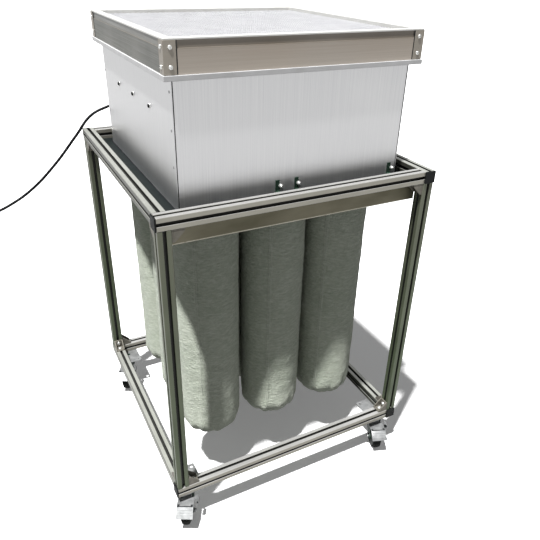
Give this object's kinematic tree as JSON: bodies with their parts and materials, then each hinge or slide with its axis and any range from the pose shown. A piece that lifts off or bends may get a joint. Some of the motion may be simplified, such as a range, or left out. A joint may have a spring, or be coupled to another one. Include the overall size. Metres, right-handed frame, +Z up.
{
  "type": "bag dust collector",
  "caption": "Square sheet-steel fan box with a panel filter on top, standing in an open T-slot aluminium frame on braked casters, with cylindrical felt bags hanging below.",
  "frame": {"origin": "on the floor, under the middle of the square frame", "axes": "+Z up; -Y is the front with the clips along the foot of the box; +X is the right-hand side seen from the front"},
  "size_m": [1.2703, 0.7723, 1.2145],
  "materials": {
    "anodised_profile": "satin anodised, drawn along its length",
    "black_plastic": "matte black moulding",
    "black_moulding": "fine-grained black moulding",
    "cord_sheath": "smooth black sheath with a soft sheen",
    "brushed_sheet": "vertically brushed stainless sheet",
    "tube_sheet_steel": "smooth cold-rolled sheet, darker than the box",
    "lip_coating": "pale lilac-white coating",
    "filter_alloy": "warm grey anodised channel with a bright rim",
    "white_mesh": "white perforated sheet",
    "filter_paper": "white pleated filter paper",
    "felt": "needled polyester felt, grey-green",
    "zinc_plate": "bright zinc-plated pressing",
    "dark_painted_steel": "dark green-black coated steel",
    "black_tread": "black rubber tread",
    "fan_casting": "grey die casting"
  },
  "bodies": {
    "stand": {"bottom_rail_back": "anodised_profile", "bottom_rail_front": "anodised_profile", "bottom_rail_left": "anodised_profile", "bottom_rail_right": "anodised_profile", "box_lip": "lip_coating", "box_panel_back": "brushed_sheet", "box_panel_front": "brushed_sheet", "box_panel_left": "brushed_sheet", "box_panel_right": "brushed_sheet", "caster_plate_back_left": "zinc_plate", "caster_plate_back_right": "zinc_plate", "caster_plate_front_left": "zinc_plate", "caster_plate_front_right": "zinc_plate", "cord_coil": "cord_sheath", "cord_gland": "black_moulding", "end_cap_bottom_back": "black_plastic", "end_cap_bottom_front": "black_plastic", "end_cap_bottom_left": "black_plastic", "end_cap_bottom_right": "black_plastic", "end_cap_top_back": "black_plastic", "end_cap_top_front": "black_plastic", "end_cap_top_left": "black_plastic", "end_cap_top_right": "black_plastic", "fan_motor": "fan_casting", "filter_bag_back_centre": "felt", "filter_bag_back_left": "felt", "filter_bag_back_right": "felt", "filter_bag_front_centre": "felt", "filter_bag_front_left": "felt", "filter_bag_front_right": "felt", "filter_bag_middle_centre": "felt", "filter_bag_middle_left": "felt", "filter_bag_middle_right": "felt", "post_back_left": "anodised_profile", "post_back_right": "anodised_profile", "post_front_left": "anodised_profile", "post_front_right": "anodised_profile", "power_cord": "cord_sheath", "power_plug": "black_moulding", "top_rail_back": "anodised_profile", "top_rail_front": "anodised_profile", "top_rail_left": "anodised_profile", "top_rail_right": "anodised_profile", "tube_sheet": "tube_sheet_steel"},
    "fork_front_left": {"caster_fork_front_left": "dark_painted_steel"},
    "wheel_front_left": {"caster_wheel_front_left": "black_tread"},
    "pedal_front_left": {"brake_pedal_front_left": "zinc_plate"},
    "fork_front_right": {"caster_fork_front_right": "dark_painted_steel"},
    "wheel_front_right": {"caster_wheel_front_right": "black_tread"},
    "pedal_front_right": {"brake_pedal_front_right": "zinc_plate"},
    "fork_back_left": {"caster_fork_back_left": "dark_painted_steel"},
    "wheel_back_left": {"caster_wheel_back_left": "black_tread"},
    "pedal_back_left": {"brake_pedal_back_left": "zinc_plate"},
    "fork_back_right": {"caster_fork_back_right": "dark_painted_steel"},
    "wheel_back_right": {"caster_wheel_back_right": "black_tread"},
    "pedal_back_right": {"brake_pedal_back_right": "zinc_plate"},
    "impeller": {"fan_impeller": "fan_casting"},
    "filter": {"filter_frame": "filter_alloy", "filter_pack": "filter_paper", "filter_face_guard": "white_mesh"}
  },
  "joints": [
    {"name": "swivel_front_left", "type": "hinge", "parent": "stand", "child": "fork_front_left", "pos_m": [-0.308, -0.302, 0.095], "axis": [0, 0, 1], "continuous": true},
    {"name": "wheel_spin_front_left", "type": "hinge", "parent": "fork_front_left", "child": "wheel_front_left", "pos_m": [-0.32871, -0.34195, 0.0375], "axis": [0.8878, -0.4602, 0], "continuous": true},
    {"name": "brake_front_left", "type": "hinge", "parent": "fork_front_left", "child": "pedal_front_left", "pos_m": [-0.32181, -0.32863, 0.084], "axis": [-0.8878, 0.4602, 0], "range_deg": [0, 20]},
    {"name": "swivel_front_right", "type": "hinge", "parent": "stand", "child": "fork_front_right", "pos_m": [0.308, -0.302, 0.095], "axis": [0, 0, 1], "continuous": true},
    {"name": "wheel_spin_front_right", "type": "hinge", "parent": "fork_front_right", "child": "wheel_front_right", "pos_m": [0.29261, -0.34429, 0.0375], "axis": [0.9397, -0.342, 0], "continuous": true},
    {"name": "brake_front_right", "type": "hinge", "parent": "fork_front_right", "child": "pedal_front_right", "pos_m": [0.29774, -0.33019, 0.084], "axis": [-0.9397, 0.342, 0], "range_deg": [0, 20]},
    {"name": "swivel_back_left", "type": "hinge", "parent": "stand", "child": "fork_back_left", "pos_m": [-0.308, 0.302, 0.095], "axis": [0, 0, 1], "continuous": true},
    {"name": "wheel_spin_back_left", "type": "hinge", "parent": "fork_back_left", "child": "wheel_back_left", "pos_m": [-0.32871, 0.26205, 0.0375], "axis": [0.8878, -0.4602, 0], "continuous": true},
    {"name": "brake_back_left", "type": "hinge", "parent": "fork_back_left", "child": "pedal_back_left", "pos_m": [-0.32181, 0.27537, 0.084], "axis": [-0.8878, 0.4602, 0], "range_deg": [0, 20]},
    {"name": "swivel_back_right", "type": "hinge", "parent": "stand", "child": "fork_back_right", "pos_m": [0.308, 0.302, 0.095], "axis": [0, 0, 1], "continuous": true},
    {"name": "wheel_spin_back_right", "type": "hinge", "parent": "fork_back_right", "child": "wheel_back_right", "pos_m": [0.28729, 0.26205, 0.0375], "axis": [0.8878, -0.4602, 0], "continuous": true},
    {"name": "brake_back_right", "type": "hinge", "parent": "fork_back_right", "child": "pedal_back_right", "pos_m": [0.29419, 0.27537, 0.084], "axis": [-0.8878, 0.4602, 0], "range_deg": [0, 20]},
    {"name": "impeller_spin", "type": "hinge", "parent": "stand", "child": "impeller", "pos_m": [0, 0, 0.93], "axis": [0, 0, 1], "continuous": true},
    {"name": "filter_lift", "type": "slide", "parent": "stand", "child": "filter", "axis": [0, 0, 1], "range_m": [0, 0.1]}
  ]
}
